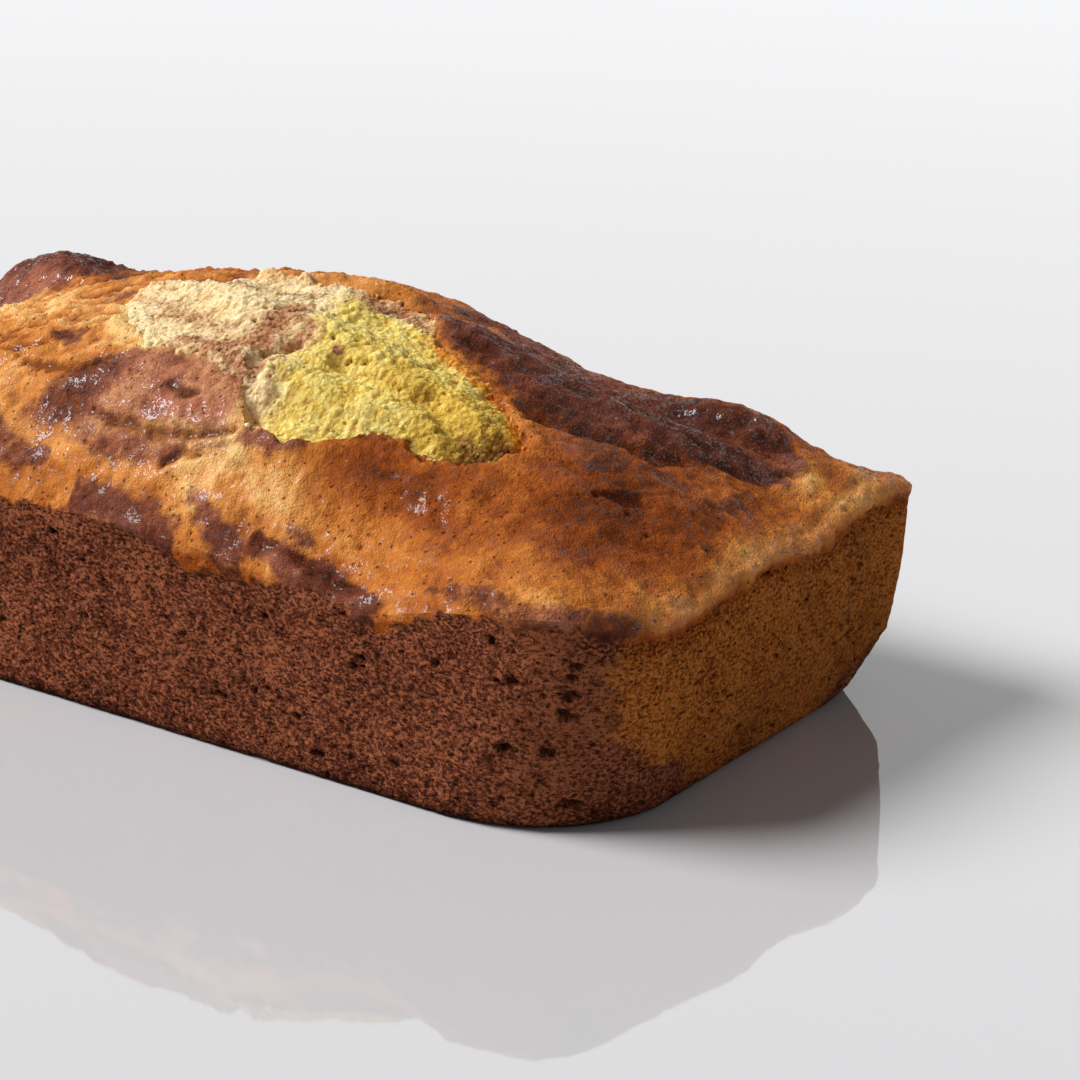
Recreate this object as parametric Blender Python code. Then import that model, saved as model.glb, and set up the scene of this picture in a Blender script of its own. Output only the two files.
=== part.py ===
"""Marble loaf cake: one whole, uncut loaf as one closed solid.

Frame: metres, +Z up, +X along the loaf, +Y to its back. The origin is the centre of the
underside. The side walls keep the shape of a tapered loaf tin. The top is a dome that has
burst along its crest while baking, with a raised rim, folds, lobes and a torn pocket.
"""
import bmesh
import bpy
import numpy as np

MM = 0.001
# Driving dimensions.
LENGTH = 226 * MM
WIDTH = 124.6 * MM
WALL_HEIGHT = 44 * MM
DOME_RISE = 33 * MM
# The walls that the tin gave: how far each one leans in at the floor, and its corners.
# The +X end is a little askew: its front corner stands further in than its back corner.
END_TAPER = 5.7 * MM
END_SKEW = 2.8 * MM
FRONT_TAPER = 0.5 * MM
BACK_TAPER = 1.5 * MM
RIM_ROLL = 3.5 * MM
FLOOR_ROLL = 2.5 * MM
FRONT_RIM = 28 * MM
FRONT_FLOOR = 32 * MM
BACK_RIM = 14 * MM
BACK_FLOOR = 24 * MM
CORNER_BEND = 30 * MM
# The back corner at the +X end is sharper above, and crumbled away below.
WORN_RIM = 9 * MM
WORN_FLOOR = 24 * MM
WORN_BEND = 13 * MM
# The dome: its flanks rise steeply from the rim and then flatten, like a cushion's.
CREST_X = 4 * MM
CREST_Y = 0 * MM
DOME_END = 109.5 * MM
DOME_FRONT = 61.5 * MM
DOME_BACK = 59 * MM
DROP_RIGHT = 0.81
DROP_LEFT = 0.765
# The torn crumb, where the crust has burst, and the unevenness of crumb and crust.
BURST_X = 16
BURST_Y = -16
BURST_LONG = 52
BURST_WIDE = 25
KNOB_PITCH = 8 * MM
KNOB_HEIGHT = 2.4 * MM
SWELL_PITCH = 22 * MM
SWELL_HEIGHT = 0.9 * MM
# The mesh: cells of the top, and rows of cells down the walls.
CELLS_X = 84
CELLS_Y = 44
WALL_ROWS = 5
ROLL_ROWS = 2

HALF_LENGTH = LENGTH / 2
HALF_WIDTH = WIDTH / 2
SPONGE = (0.36, 0.17, 0.07, 1.0)


def bell(distance, width):
    """A smooth hump of height 1, which falls to 1/e at the given width."""
    return np.exp(-((distance / width) ** 2))


def mound(x, y, centre, radii, turn=0.0):
    """A round or oval hump of height 1; turn is in degrees from +X."""
    cosine, sine = np.cos(np.radians(turn)), np.sin(np.radians(turn))
    away_x = x - centre[0] * MM
    away_y = y - centre[1] * MM
    along = (away_x * cosine + away_y * sine) / (radii[0] * MM)
    across = (away_y * cosine - away_x * sine) / (radii[1] * MM)
    return np.exp(-along ** 2 - across ** 2)


def ridge(x, y, start, end, width):
    """A hump of height 1 that follows a straight line, with round ends."""
    line_x, line_y = (end[0] - start[0]) * MM, (end[1] - start[1]) * MM
    length = np.hypot(line_x, line_y)
    away_x, away_y = x - start[0] * MM, y - start[1] * MM
    along = (away_x * line_x + away_y * line_y) / length
    across = (away_x * line_y - away_y * line_x) / length
    beyond = np.maximum(0, np.abs(along - length / 2) - length / 2)
    return np.exp(-(across ** 2 + beyond ** 2) / (width * MM) ** 2)


def lattice(column, row):
    """A fixed number from -1 to 1 for each crossing of a square lattice."""
    return np.modf(np.sin(column * 12.9898 + row * 78.233) * 43758.5453)[0]


def lumps(x, y, pitch):
    """Uneven lumps between -1 and 1: the lattice's numbers, blended smoothly between."""
    column, row = np.floor(x / pitch), np.floor(y / pitch)
    u, v = x / pitch - column, y / pitch - row
    u, v = u * u * (3 - 2 * u), v * v * (3 - 2 * v)
    near = lattice(column, row) * (1 - u) + lattice(column + 1, row) * u
    far = lattice(column, row + 1) * (1 - u) + lattice(column + 1, row + 1) * u
    return near * (1 - v) + far * v


def rim_height(x, y):
    """The rim stands highest at the middle of the +X end, and sags along the front."""
    end_middle = 3 * MM * bell(y, 20 * MM)
    end_back = 4.7 * MM * bell(y - 47 * MM, 20 * MM)
    end_front = 1.5 * MM * bell(y + 59 * MM, 18 * MM)
    end_edge = bell(x - 112 * MM, 12 * MM) * (end_middle + end_back - end_front)
    far_ridge = 2 * MM * bell(x + 110 * MM, 6 * MM)
    front_rise = 1.5 * MM * bell(x - 92 * MM, 14 * MM) * bell(y + 62 * MM, 16 * MM)
    front_sag = 5.7 * MM * bell(x - 50 * MM, 18 * MM) * bell(y + 61 * MM, 20 * MM)
    return WALL_HEIGHT + end_edge + far_ridge + front_rise - front_sag


def dome(x, y):
    """The risen top: a crest that drops towards both ends, times a curved flank."""
    reach_x = np.where(x > CREST_X, DOME_END - CREST_X, DOME_END + CREST_X)
    reach_y = np.where(y > CREST_Y, DOME_BACK - CREST_Y, DOME_FRONT + CREST_Y)
    along = np.clip(np.abs(x - CREST_X) / reach_x, 0, 1)
    across = np.clip(np.abs(y - CREST_Y) / reach_y, 0, 1)
    right = 1 - DROP_RIGHT * (np.hypot(along, 0.06) - 0.06)
    left = 1 - DROP_LEFT * along ** 1.7
    crest = np.where(x > CREST_X, right, left) * (1 - along ** 7.4)
    flank = 1 - across ** 3.4
    return DOME_RISE * crest * flank


def folds(x, y):
    """The lobes and folds of the crust, each named for its place, in millimetres."""
    crest_fold = 3.0 * ridge(x, y, (30, 9), (80, 14), 8)
    back_lobe = 6.5 * mound(x, y, (86, 37), (22, 13), -4)
    crease = 3.0 * ridge(x, y, (64, 24), (92, 30), 4)
    back_dip = 4.5 * mound(x, y, (55, 26), (23, 14), -8)
    end_bulge = 2.5 * mound(x, y, (84, -6), (18, 15))
    bulge_crease = 2.0 * ridge(x, y, (60, -5), (82, 1), 3.5)
    left_swell = 2.5 * mound(x, y, (-13, -46), (22, 9))
    left_crease = 2.0 * ridge(x, y, (-48, -47), (-24, -54), 4)
    back_lump = 13.0 * mound(x, y, (-101, 32), (20, 13))
    front_hollow = 2.8 * mound(x, y, (50, -42), (30, 12))
    raised = crest_fold + back_lobe + end_bulge + left_swell + back_lump
    sunk = crease + back_dip + bulge_crease + left_crease + front_hollow
    return MM * (raised - sunk)


def burst(x, y):
    """The torn crumb: knobs in an oval, a raised front lip with a trough and a pocket."""
    oval = mound(x, y, (BURST_X, BURST_Y), (BURST_LONG, BURST_WIDE), -12)
    inside = np.clip(3 * oval - 1, 0, 1)
    knobs = KNOB_HEIGHT * lumps(x, y, KNOB_PITCH) * inside
    swells = SWELL_HEIGHT * lumps(x + y, y - x / 3, SWELL_PITCH) * (1 - inside)
    lip = 1.6 * ridge(x, y, (14, -47), (64, -38), 3.5)
    trough = 3.5 * ridge(x, y, (18, -39), (60, -32), 4)
    pocket = 6.0 * mound(x, y, (65, -27), (8, 6), 30)
    back_step = 2.0 * ridge(x, y, (-38, 3), (14, 15), 4)
    return knobs + swells + MM * (lip + back_step - trough - pocket)


def corner_radius(x, y, height):
    """The plan radius of each corner, which widens from its bend down to the floor."""
    worn = (x > 0) & (y > 0)
    top = np.where(worn, WORN_RIM, np.where(y > 0, BACK_RIM, FRONT_RIM))
    bottom = np.where(worn, WORN_FLOOR, np.where(y > 0, BACK_FLOOR, FRONT_FLOOR))
    bend = np.where(worn, WORN_BEND, CORNER_BEND)
    below = np.clip(1 - height / bend, 0, 1)
    return top + (bottom - top) * below


def rounded(x, y, half_x, half_y, radius):
    """Moves a point of a rectangle's border onto the same rectangle with round corners."""
    past_x = np.maximum(0, np.abs(x) - (half_x - radius))
    past_y = np.maximum(0, np.abs(y) - (half_y - radius))
    angle = np.pi / 4 * (1 + (past_y - past_x) / radius)
    at_corner = (past_x > 0) & (past_y > 0)
    round_x = np.sign(x) * (half_x - radius + radius * np.cos(angle))
    round_y = np.sign(y) * (half_y - radius + radius * np.sin(angle))
    return np.where(at_corner, round_x, x), np.where(at_corner, round_y, y)


def plan(s, t, height, inset=0.0):
    """Lays a square of -1 to 1 over the loaf's plan at a height, more rounded outwards."""
    depth = 1 - np.clip(height / WALL_HEIGHT, 0, 1)
    frontward = np.clip((1 - WORN_RIM / HALF_WIDTH - t) / 2, 0, 1)
    skew = np.where(s > 0, END_SKEW * frontward * (1 - depth ** 3), 0)
    half_x = HALF_LENGTH - END_TAPER * depth ** 3 - skew - inset
    taper = np.where(t < 0, FRONT_TAPER, BACK_TAPER)
    half_y = HALF_WIDTH - taper * depth - inset
    reach = np.maximum(np.maximum(np.abs(s), np.abs(t)), 1e-9)
    border_x, border_y = s / reach * half_x, t / reach * half_y
    radius = corner_radius(border_x, border_y, height)
    edge_x, edge_y = rounded(border_x, border_y, half_x, half_y, radius)
    share = reach ** 8
    x = s * half_x * (1 - share) + edge_x * reach * share
    y = t * half_y * (1 - share) + edge_y * reach * share
    return x, y


def top_surface(s, t):
    """The crust: rim, dome, folds and burst, rolled over at the rim."""
    x, y = plan(s, t, WALL_HEIGHT)
    inward = (1 - np.maximum(np.abs(s), np.abs(t))) * HALF_WIDTH
    lack = np.clip(1 - inward / RIM_ROLL, 0, 1)
    roll = RIM_ROLL * (1 - np.sqrt(1 - 0.9 * lack ** 2))
    z = rim_height(x, y) + dome(x, y) + folds(x, y) + burst(x, y) - roll
    return x, y, z


def wall_ring(s, t, row):
    """One ring of the walls: straight down to the floor's roll, then a quarter circle."""
    rim_z = top_surface(s, t)[2]
    if row <= WALL_ROWS:
        height = rim_z + (FLOOR_ROLL - rim_z) * row / WALL_ROWS
        inset = 0.0
    else:
        angle = np.pi / 2 * (row - WALL_ROWS) / ROLL_ROWS
        height = np.full_like(s, FLOOR_ROLL * (1 - np.sin(angle)))
        inset = FLOOR_ROLL * (1 - np.cos(angle))
    x, y = plan(s, t, height, inset)
    return x, y, height


def extrude_border(mesh):
    """Extrudes the open border once, and returns the new ring's vertices."""
    border = [edge for edge in mesh.edges if edge.is_boundary]
    made = bmesh.ops.extrude_edge_only(mesh, edges=border)
    return [item for item in made["geom"] if isinstance(item, bmesh.types.BMVert)]


def place(vertices, surface):
    """Moves each vertex from its place on the flat square to its place on the loaf."""
    s = np.array([vertex.co.x for vertex in vertices])
    t = np.array([vertex.co.y for vertex in vertices])
    for vertex, x, y, z in zip(vertices, *surface(s, t)):
        vertex.co = (x, y, z)


def loaf_mesh():
    """The top as a grid, the walls as rings extruded from its border, and one flat floor."""
    mesh = bmesh.new()
    bmesh.ops.create_grid(mesh, x_segments=CELLS_X, y_segments=CELLS_Y, size=1)
    top = list(mesh.verts)
    rings = [extrude_border(mesh) for _ in range(WALL_ROWS + ROLL_ROWS)]
    bmesh.ops.contextual_create(mesh, geom=[edge for edge in mesh.edges if edge.is_boundary])
    place(top, top_surface)
    for index, ring in enumerate(rings):
        place(ring, lambda s, t, row=index + 1: wall_ring(s, t, row))
    bmesh.ops.triangulate(mesh, faces=mesh.faces)
    bmesh.ops.recalc_face_normals(mesh, faces=mesh.faces)
    return mesh


def sponge_material():
    """Baked sponge, as one plain finish for the whole solid."""
    material = bpy.data.materials.new("baked_sponge")
    material.use_nodes = True
    shader = material.node_tree.nodes["Principled BSDF"]
    shader.inputs["Base Color"].default_value = SPONGE
    shader.inputs["Roughness"].default_value = 0.7
    shader.inputs["Metallic"].default_value = 0.0
    return material


def add_loaf(collection):
    mesh = loaf_mesh()
    data = bpy.data.meshes.new("marble_loaf")
    mesh.to_mesh(data)
    mesh.free()
    data.shade_smooth()
    data.materials.append(sponge_material())
    collection.objects.link(bpy.data.objects.new("marble_loaf", data))


def main():
    for startup in list(bpy.data.objects):
        bpy.data.objects.remove(startup)
    collection = bpy.data.collections.new("Marble loaf cake")
    bpy.context.scene.collection.children.link(collection)
    add_loaf(collection)


main()
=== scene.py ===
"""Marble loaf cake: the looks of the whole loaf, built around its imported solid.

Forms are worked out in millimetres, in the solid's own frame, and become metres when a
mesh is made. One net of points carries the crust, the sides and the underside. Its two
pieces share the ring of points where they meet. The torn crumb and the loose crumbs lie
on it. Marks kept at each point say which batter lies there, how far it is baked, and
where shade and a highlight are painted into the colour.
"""

import bpy
import numpy as np
from bpy.props import FloatProperty, FloatVectorProperty, IntProperty, PointerProperty
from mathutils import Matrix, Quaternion, Vector


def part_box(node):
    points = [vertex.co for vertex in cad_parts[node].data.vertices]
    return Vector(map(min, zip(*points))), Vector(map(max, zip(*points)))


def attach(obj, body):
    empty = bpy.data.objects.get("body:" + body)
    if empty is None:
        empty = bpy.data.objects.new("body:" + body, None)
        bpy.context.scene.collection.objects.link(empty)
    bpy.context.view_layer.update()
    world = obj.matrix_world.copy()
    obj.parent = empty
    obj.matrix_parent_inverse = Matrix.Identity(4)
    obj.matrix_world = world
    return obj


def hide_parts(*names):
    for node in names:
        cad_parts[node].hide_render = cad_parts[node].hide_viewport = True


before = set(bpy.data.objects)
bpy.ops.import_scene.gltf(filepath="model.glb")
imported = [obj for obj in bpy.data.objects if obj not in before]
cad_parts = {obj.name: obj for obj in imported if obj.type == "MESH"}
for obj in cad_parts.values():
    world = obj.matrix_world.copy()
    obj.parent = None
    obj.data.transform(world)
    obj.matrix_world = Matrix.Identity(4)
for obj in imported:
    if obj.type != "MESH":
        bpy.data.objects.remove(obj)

bl_info = {
    "name": "Marble loaf cake",
    "version": (1, 1, 0),
    "blender": (4, 5, 0),
    "location": "3D View > Sidebar > Loaf cake",
    "description": "Builds a marble loaf cake with a burst crust, crumb sides and torn crumb",
    "category": "Add Mesh",
}

MM = 0.001
NODE = "marble_loaf"
LOWEST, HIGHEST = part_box(NODE)
LENGTH, WIDTH, _ = ((high - low) / MM for low, high in zip(LOWEST, HIGHEST))
HALF_LENGTH, HALF_WIDTH = LENGTH / 2, WIDTH / 2

# The loaf's form, as the solid has it.
WALL_HEIGHT, DOME_RISE = 44, 33
END_TAPER, END_SKEW, FRONT_TAPER, BACK_TAPER = 5.7, 2.8, 0.5, 1.5
RIM_ROLL, FLOOR_ROLL = 3.5, 2.5
FRONT_RIM, FRONT_FLOOR, BACK_RIM, BACK_FLOOR, CORNER_BEND = 28, 32, 14, 24, 30
WORN_RIM, WORN_FLOOR, WORN_BEND = 9, 24, 13
CREST_X, CREST_Y = 4, 0
DOME_END, DOME_FRONT, DOME_BACK = 109.5, 61.5, 59
DROP_RIGHT, DROP_LEFT = 0.81, 0.765
SWELL_PITCH = 22
# How far the floor lies below the loaf, so that the two don't share a plane.
FLOOR_GAP = 0.1 * MM
# How far the relief is sunk below the solid's face, and the sides' relief below that. The
# torn crumb and the loose crumbs are sunk a little too.
RELIEF_SINK, SIDE_SINK, TORN_SINK, LOOSE_SINK = 0.4, 0.25, 0.3, 0.3
# A distance past the reach of every mark.
FAR = 99.0

# The fine net of the crust and the sides.
CELLS_X, CELLS_Y = 428, 226
WALL_ROWS, ROLL_ROWS, FLOOR_ROWS = 64, 3, 4
# Inner points where the hidden closing fans of the pieces meet.
NET_HUB = (0, 0, WALL_HEIGHT - 14)
TORN_HUB = (8, -12, WALL_HEIGHT - 4)
# Where the torn crumb's grid lies, and where loose crumbs may lie: low and high x, y.
TORN_AREA = (-43.0, 72.0, -52.0, 16.0)
CRUMB_AREA = (-46, 74, -58, 20)

# The burst's outline in plan: front lip, right lip, back and left, run round once.
BURST_OUTLINE = (
    (15, -46), (21, -46), (28, -45), (33, -41), (38, -34), (45, -33), (52, -34), (58, -31),
    (63, -27), (66, -23), (65, -19), (60, -15), (52, -9), (44, -5), (37, -3), (31, -1),
    (27, 4), (22, 9), (16, 10), (8, 8), (0, 6), (-10, 5), (-20, 2), (-30, -2), (-36, -6),
    (-37, -12), (-34, -20), (-28, -27), (-22, -32), (-16, -36), (-8, -36), (0, -36),
    (8, -38), (11, -41), (14, -45),
)
# The thick chocolate patch at the front left of the burst.
PATCH_OUTLINE = (
    (-38, -51), (-32, -46), (-26, -41), (-16, -38), (-4, -36), (8, -37), (12, -41), (13, -47),
    (8, -50), (-2, -52), (-14, -53), (-26, -54),
)
# Where the crust ends and the tin's crumb begins on the front: place along, height.
FRONT_EDGE = (
    (-113, 40.5), (-60, 41), (-34, 41.1), (-26, 41.8), (-8, 41.6), (5, 39.2), (15, 36.3),
    (27, 37.1), (41, 38.5), (51, 37.7), (56, 34.7), (60, 33.8), (65, 37), (74, 41.7),
    (83, 42.6), (92, 42.3), (100, 42.6), (113, 43.0),
)
# Where chocolate ends on the +X end: height, place across.
END_EDGE = (
    (0, -15), (3, -19), (7, -25), (10, -28), (12, -38), (20, -48), (28, -50), (34, -50),
    (40, -47), (46, -46),
)

# Chocolate batter on top, as brushed strokes: strength, softness, then a bent line of
# place along, place across and half width.
RIBBON = (
    (1.0, 0.25, ((27, 9, 3), (33, 8, 7), (45, 9, 10), (56, 8, 11.5), (66, 8, 11), (76, 13, 10),
                 (85, 18, 8), (92, 21, 5), (97, 24, 3))),
    (1.0, 0.3, ((22, 26, 5), (34, 30, 9), (48, 32, 11), (60, 30, 10))),
    (0.95, 0.35, ((60, 29, 7), (78, 31, 7), (90, 31, 6), (98, 29, 3))),
)
STROKES = (
    (0.75, 0.5, ((70, -5, 3), (76, -8, 5), (80, -12, 4), (78, -17, 2.5))),
    (0.8, 0.5, ((84, -22, 0.9), (87, -18, 1.5), (90, -14, 0.9))),
    (0.6, 0.5, ((97, -8, 2), (98, 2, 2.5), (97, 12, 2))),
    (0.9, 0.4, ((-62, -50, 2), (-48, -53, 2.6), (-36, -56, 2), (-26, -57.5, 1.2))),
    (0.7, 0.5, ((-64, -58, 1.5), (-44, -60.5, 2))),
    (0.8, 0.4, ((-22, -53, 1.5), (-8, -55, 1.8), (4, -54, 1.2))),
    (0.95, 0.4, ((-16, -60.5, 1.5), (0, -61.5, 2.2), (10, -61.5, 1.5))),
    (0.8, 0.4, ((12, -58, 1.2), (20, -60.5, 2), (26, -61.5, 2))),
    (1.0, 0.3, ((29, -60, 1.6), (43, -60.2, 2.8), (50, -60.6, 2.6), (58, -61.8, 1.2))),
    (0.9, 0.4, ((16, -48.5, 1.2), (23, -47.5, 2), (29, -45, 1.2))),
    (0.55, 0.5, ((0, -53, 1), (9, -51, 1.5), (16, -49, 1))),
    (0.75, 0.5, ((70, -59.5, 1), (79, -60, 2), (89, -60, 2.5), (100, -57, 2.5), (108, -47, 2))),
    (0.8, 0.5, ((35.5, -56, 1.4), (38.5, -56, 1.6))),
    (0.85, 0.4, ((-41, -35, 1.6), (-37, -37, 2.4), (-35, -34, 1.4))),
    (0.5, 0.5, ((-50, -8, 2), (-44, -10, 3), (-38, -13, 4), (-34, -19, 3))),
    (1.0, 0.3, ((-112, 22, 12), (-100, 26, 14), (-88, 31, 9), (-78, 35, 4))),
    (0.8, 0.4, ((-104, -22, 3), (-90, -30, 6), (-78, -33, 4))),
    (0.9, 0.4, ((-98, -50, 3), (-84, -54, 5), (-72, -52, 3))),
    (0.8, 0.4, ((-72, 26, 4), (-52, 38, 7), (-28, 44, 5))),
    (0.9, 0.4, ((-12, 38, 3), (8, 46, 6), (28, 50, 4))),
    (0.7, 0.4, ((-64, 52, 3), (-40, 57, 4), (-16, 58, 3))),
    (0.8, 0.4, ((58, 50, 4), (76, 54, 6), (92, 52, 4))),
)
# How the crust's browning differs from place to place, with a highlight painted along the +X rim:
# change, centre, radii, turn.
DARKER = (
    # the +X bulge, the far edge and the ribbon's foot
    (0.20, (74, -32), (26, 17), 8), (0.16, (94, -6), (14, 30), 0), (0.14, (90, -16), (16, 18), 0),
    (0.22, (66, -4), (22, 6), 4), (0.18, (104, 50), (12, 9), 0), (0.20, (78, 36), (18, 12), 0),
    (0.18, (56, 12), (34, 14), 6),
    # in front of the burst, and on the thick patch
    (0.10, (46, -50), (24, 9), 0), (0.12, (40, -37), (10, 4), 0), (0.16, (46, -43), (20, 7), 0),
    (0.10, (-4, -57), (26, 4), 0), (0.20, (-26, -46), (9, 5), 20), (0.12, (-24, -45), (10, 6), 0),
    # the far left
    (0.20, (-94, 31), (20, 12), 0),
)
PALER = (
    # the craggy crust at the left
    (-0.26, (-30, -32), (18, 11), -20), (-0.20, (-62, -16), (32, 18), 0),
    (-0.18, (-14, 8), (34, 5), 8), (-0.12, (-80, 0), (30, 30), 0),
    (-0.10, (-102, 24), (16, 12), 0), (-0.16, (-104, 22), (16, 14), 0),
    # the front edge and the lip
    (-0.10, (-46, -46), (18, 6), 0), (-0.14, (-36, -50), (36, 10), 0),
    (-0.18, (-6, -44), (24, 8), 8), (-0.12, (-8, -57), (30, 5), 0),
    (-0.22, (2, -42), (11, 6), 0), (-0.16, (13, -51), (4, 2), 0),
    (-0.14, (12, -53), (30, 7), 0), (-0.10, (20, -55), (16, 4), 0), (-0.10, (22, -50), (20, 6), 0),
    (-0.10, (20, -50), (44, 8), 0), (-0.10, (60, -50), (26, 6), 0), (-0.16, (95, -58), (6, 3), 0),
    # the +X rim: a pale spot, then a painted highlight along the rim's edge
    (-0.30, (101, 26), (5, 6), 20), (-0.34, (111, 40), (3, 18), 0),
    (-0.16, (110, -8), (3, 34), 0), (-0.14, (108, -20), (5, 26), 0),
)
# Fine cracks of the crust: bent lines of place along, place across and half width.
CRACKS = (
    ((-44, -43, 0.5), (-36, -44, 0.8), (-28, -44, 0.8), (-19, -40, 0.4)),
    ((-20, -51.5, 0.4), (-6, -52.5, 0.7), (6, -51, 0.8), (15, -48.5, 0.4)),
    ((-5, -45, 0.5), (0, -45.5, 0.9), (3, -44.5, 0.4)),
    ((2, -55.5, 0.4), (6, -53.5, 0.7), (10, -53, 0.4)),
    ((83, -23, 0.6), (87, -20, 1.2), (91, -17, 0.5)),
    ((60, -6, 0.8), (70, -3, 1.6), (80, 2, 1.5), (86, 7, 0.8)),
    ((90, 15, 0.8), (96, 21, 1.6), (99, 27, 0.8)),
    ((28, -59.4, 0.4), (40, -58.4, 0.8), (52, -59.4, 0.5)),
    ((-60, -38, 0.4), (-50, -40, 0.7), (-42, -38, 0.4)),
)
# A smear of chocolate across the +X end, as a stroke of place across and height.
END_SMEAR = (
    (1.0, 0.5, ((33, 41, 1.5), (37, 34, 2), (32, 27, 2), (33, 17, 2.5), (33, 8, 3))),
)
# Clefts of the torn crumb: depth, the half widths out at which they start and are deepest,
# then a bent line of place along, place across and half width.
CLEFTS = (
    (2.4, 1.6, 0.2, ((22, -23, 2), (34, -24, 2.5), (42, -21, 2.5), (51, -25, 3), (57, -27, 4),
                     (63, -26, 4))),
    (2.0, 1.5, 0.2, ((12, -24, 1.6), (9, -32, 2), (12, -40, 2.2), (18, -46, 2))),
    (1.5, 1.5, 0.3, ((31, -1, 1.2), (42, 1, 1.8), (51, -3, 1.2))),
)
# Chocolate batter in the torn crumb, as brushed strokes.
TORN_SWIRLS = (
    (0.85, 0.6, ((8, 7, 3), (13, 3, 4), (16, 8, 3.5), (24, 4, 2))),
    (0.85, 0.6, ((-3, -36, 3), (0, -32, 4), (5, -27, 4.5), (5, -20, 4), (2, -12, 3))),
    (0.75, 0.6, ((-10, -33, 3), (8, -37, 3), (11, -33, 2.5))),
    (0.70, 0.6, ((6, -17, 2), (12, -19, 2.5), (11, -25, 2))),
    (0.90, 0.5, ((19, -21, 0.9), (21, -20.5, 0.9))),
    (0.65, 0.7, ((30, 0, 2), (38, 0, 2.5), (48, -3, 2))),
    (0.60, 0.6, ((-34, -16, 2), (-24, -20, 3), (-12, -26, 2.5), (-4, -24, 2))),
    (0.60, 0.6, ((-32, -2, 2), (-14, -5, 3), (0, -3, 3))),
    (0.65, 0.8, ((54, -26, 2), (60, -26, 3), (64, -22, 2))),
)
# Holes of the tin's crumb on the front: place along, height, half width.
FRONT_HOLES = (
    (73, 31, 1.2), (90, 31.5, 1.4), (88, 17, 1.2), (96, 17, 1.3), (99, 25, 1.4), (101, 35, 1.1),
    (100, 29, 1.2), (99, 6, 1.6), (85, 39, 1.0), (33, 31, 1.0), (-20, 36, 1.1), (12, 22, 0.9),
    (-48, 28, 1.2), (54, 26, 1.0), (-34, 14, 1.0), (41, 12, 1.1), (64, 8, 1.2), (-70, 24, 1.2),
)


# ---------------------------------------------------------------- what a user may change
def srgb(red, green, blue):
    """A colour from 0 to 255 a channel, made linear for the shader."""
    level = np.array([red, green, blue]) / 255
    linear = np.where(level <= 0.04045, level / 12.92, ((level + 0.055) / 1.055) ** 2.4)
    return (*linear.tolist(), 1.0)


def length(name, millimetres, about):
    """A size that a user may change, given in millimetres."""
    return FloatProperty(name=name, description=about, default=millimetres * MM,
                         min=0, precision=5, unit="LENGTH")


def degrees(name, amount, about):
    """An angle that a user may change, given in degrees."""
    return FloatProperty(name=name, description=about, default=np.radians(amount),
                         subtype="ANGLE")


def light(name, amount, about):
    """A light's strength that a user may change."""
    return FloatProperty(name=name, description=about, default=amount, min=0)


def heading(name, direction, about):
    """The direction from the loaf to a light, which a user may change."""
    return FloatVectorProperty(name=name, description=about, default=direction,
                               subtype="DIRECTION")


def share(name, amount, about):
    """A share from 0 to 1 that a user may change."""
    return FloatProperty(name=name, description=about, default=amount, min=0, max=1,
                         subtype="FACTOR")


def tint(name, red, green, blue, about):
    """A colour that a user may change, given as 0 to 255 a channel."""
    return FloatVectorProperty(name=name, description=about, size=4, min=0, max=1,
                               default=srgb(red, green, blue), subtype="COLOR")


class CrustLooks(bpy.types.PropertyGroup):
    """Sizes and colours of the baked skin."""

    swell_height: length("Swells", 0.9, "Height of the broad swells")
    lip_height: length("Lip", 1.6, "Height of the burst's raised front lip")
    burst_depth: length("Burst depth", 4.5, "How far the crust sinks under the torn crumb")
    bump_height: length("Bumps", 0.6, "Height of the bumps, 2 to 9 mm wide")
    blister_height: length("Blisters", 0.20, "Height of the small blisters")
    pock_depth: length("Pocks", 0.9, "Depth of the larger pocks")
    wrinkle_depth: length("Wrinkles", 0.7, "Depth of the ribbon's wrinkles")
    palest: tint("Palest crust", 242, 196, 126, "Crust that is barely baked")
    pale: tint("Pale crust", 216, 144, 74, "Lightly baked crust")
    golden: tint("Golden crust", 188, 110, 46, "Evenly baked crust")
    brown: tint("Brown crust", 150, 74, 26, "Well baked crust")
    # The darkest crust is also the colour of the painted shade in pits and pinholes.
    dark: tint("Dark crust", 84, 38, 16, "The darkest crust")
    cocoa_pale: tint("Pale chocolate crust", 172, 104, 78, "Chocolate skin, lightly baked")
    cocoa_mid: tint("Chocolate crust", 106, 54, 38, "Chocolate skin, evenly baked")
    cocoa_dark: tint("Dark chocolate crust", 44, 21, 16, "Chocolate skin, well baked")


class SideLooks(bpy.types.PropertyGroup):
    """Sizes and colours of the crumb that the tin shaped."""

    grain_size: length("Grain", 0.75, "Width of the crumb's grains")
    pore_depth: length("Pores", 0.5, "Depth of the fine pores")
    hole_depth: length("Holes", 1.5, "Depth of the larger holes")
    vanilla_pale: tint("Pale vanilla crumb", 236, 150, 72, "Vanilla crumb's lightest grains")
    vanilla_mid: tint("Vanilla crumb", 200, 106, 42, "Vanilla crumb")
    vanilla_dark: tint("Dark vanilla crumb", 104, 46, 18, "Vanilla crumb's darkest grains")
    cocoa_pale: tint("Pale chocolate crumb", 196, 116, 78, "Chocolate crumb's lightest grains")
    cocoa_mid: tint("Chocolate crumb", 122, 64, 45, "Chocolate crumb")
    cocoa_dark: tint("Dark chocolate crumb", 46, 20, 14, "Chocolate crumb's darkest grains")
    # The colour of the painted shade inside pores and holes.
    shaded_pore: tint("Pore", 34, 16, 12, "The inside of a pore or a hole")


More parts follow.
